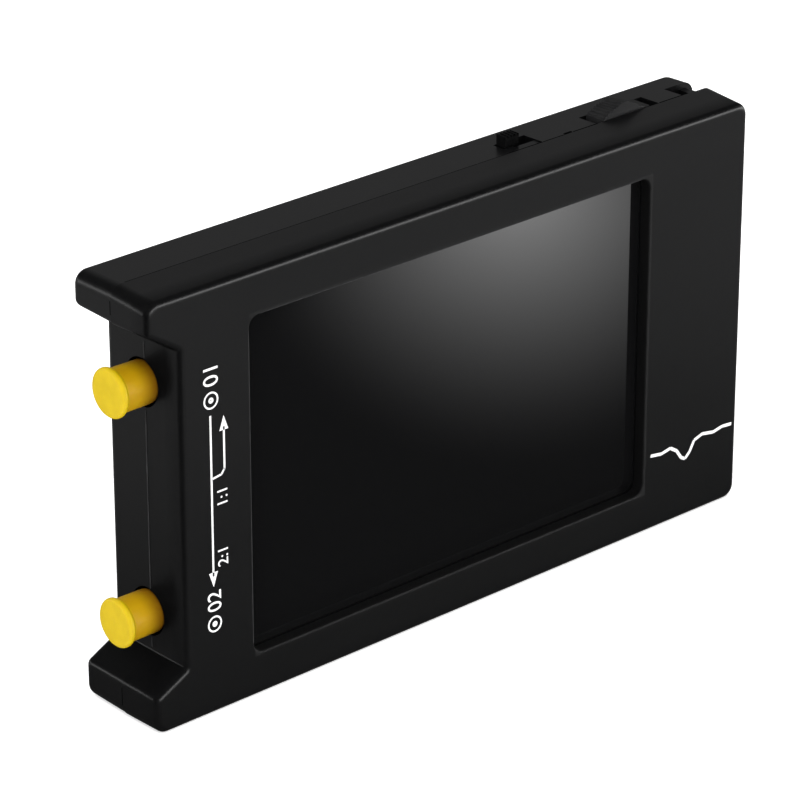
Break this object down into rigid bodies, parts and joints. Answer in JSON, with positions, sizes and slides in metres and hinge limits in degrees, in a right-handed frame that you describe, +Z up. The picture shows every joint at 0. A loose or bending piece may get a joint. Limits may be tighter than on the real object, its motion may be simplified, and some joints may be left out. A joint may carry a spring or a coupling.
{
  "type": "vector network analyzer",
  "caption": "Hand-held two-port radio-frequency network analyzer with a touch screen, recessed coaxial ports under push-on dust caps, a jog switch and a power slide.",
  "frame": {"origin": "middle of the base, at the centre of the case's length and depth", "axes": "+Z up, +X along the case away from the ports, screen facing -Y"},
  "size_m": [0.134, 0.019, 0.0782],
  "materials": {
    "case_plastic": "fine moulded texture, satin",
    "screw_steel": "black zinc",
    "foam": "matt closed-cell foam",
    "screen_glass": "polished",
    "display_glass": "dark when off",
    "light_guide": "white",
    "sheet_steel": "tinned sheet",
    "amber_film": "polyimide film",
    "connector_plastic": "moulded nylon",
    "dark_plastic": "moulded",
    "board_laminate": "black solder mask",
    "chip_epoxy": "moulded epoxy",
    "crystal_metal": "plated can",
    "small_parts": "fired ceramic",
    "clear_lens": "clear epoxy",
    "gold_plate": "gold plated",
    "insulator_white": "fluoropolymer",
    "cap_plastic": "soft moulded polyethylene",
    "battery_foil": "laminated foil",
    "wire_red": "silicone insulation",
    "wire_black": "silicone insulation"
  },
  "bodies": {
    "case": {"front_shell": "case_plastic", "rear_shell": "case_plastic", "case_screws": "screw_steel", "board_screws": "screw_steel", "screen_gasket": "foam", "battery_pad": "foam", "touch_glass": "screen_glass", "lcd_panel": "display_glass", "backlight": "light_guide", "lcd_tray": "sheet_steel", "shield_can_upper": "sheet_steel", "shield_can_lower": "sheet_steel", "power_switch": "sheet_steel", "jog_switch": "sheet_steel", "usb_socket": "sheet_steel", "card_socket": "sheet_steel", "lcd_tail": "amber_film", "lcd_socket": "connector_plastic", "battery_header": "connector_plastic", "battery_plug": "connector_plastic", "usb_tongue": "dark_plastic", "main_board": "board_laminate", "processor_chip": "chip_epoxy", "clock_chip": "chip_epoxy", "codec_chip": "chip_epoxy", "charger_chip": "chip_epoxy", "mixer_chips": "chip_epoxy", "crystal_can": "crystal_metal", "board_passives": "small_parts", "charge_light": "clear_lens", "port_upper_body": "gold_plate", "port_lower_body": "gold_plate", "port_upper_contact": "gold_plate", "port_lower_contact": "gold_plate", "port_upper_insulator": "insulator_white", "port_lower_insulator": "insulator_white", "battery_pouch": "battery_foil", "battery_lead_red": "wire_red", "battery_lead_black": "wire_black"},
    "cap_upper": {"port_upper_cap": "cap_plastic"},
    "cap_lower": {"port_lower_cap": "cap_plastic"},
    "power_control": {"power_knob": "dark_plastic", "power_lever": "dark_plastic"},
    "jog_carriage": {"jog_slider": "dark_plastic"},
    "jog_button": {"jog_cap": "case_plastic", "jog_stem": "dark_plastic"},
    "socket_latch": {"lcd_latch": "dark_plastic"}
  },
  "joints": [
    {"name": "cap_upper_pull", "type": "slide", "parent": "case", "child": "cap_upper", "axis": [-1, 0, 0], "range_m": [0, 0.008]},
    {"name": "cap_lower_pull", "type": "slide", "parent": "case", "child": "cap_lower", "axis": [-1, 0, 0], "range_m": [0, 0.008]},
    {"name": "power_slide", "type": "slide", "parent": "case", "child": "power_control", "axis": [1, 0, 0], "range_m": [0, 0.0033]},
    {"name": "jog_slide", "type": "slide", "parent": "case", "child": "jog_carriage", "axis": [1, 0, 0], "range_m": [-0.0013, 0.0013], "stiffness_N_per_m": 400},
    {"name": "jog_push", "type": "slide", "parent": "jog_carriage", "child": "jog_button", "axis": [0, 0, -1], "range_m": [0, 0.0006], "stiffness_N_per_m": 800, "springref_m": -0.0005},
    {"name": "latch_flip", "type": "hinge", "parent": "case", "child": "socket_latch", "pos_m": [0.06, -0.00137, 0.038], "axis": [0, 0, 1], "range_deg": [0, 90]}
  ]
}
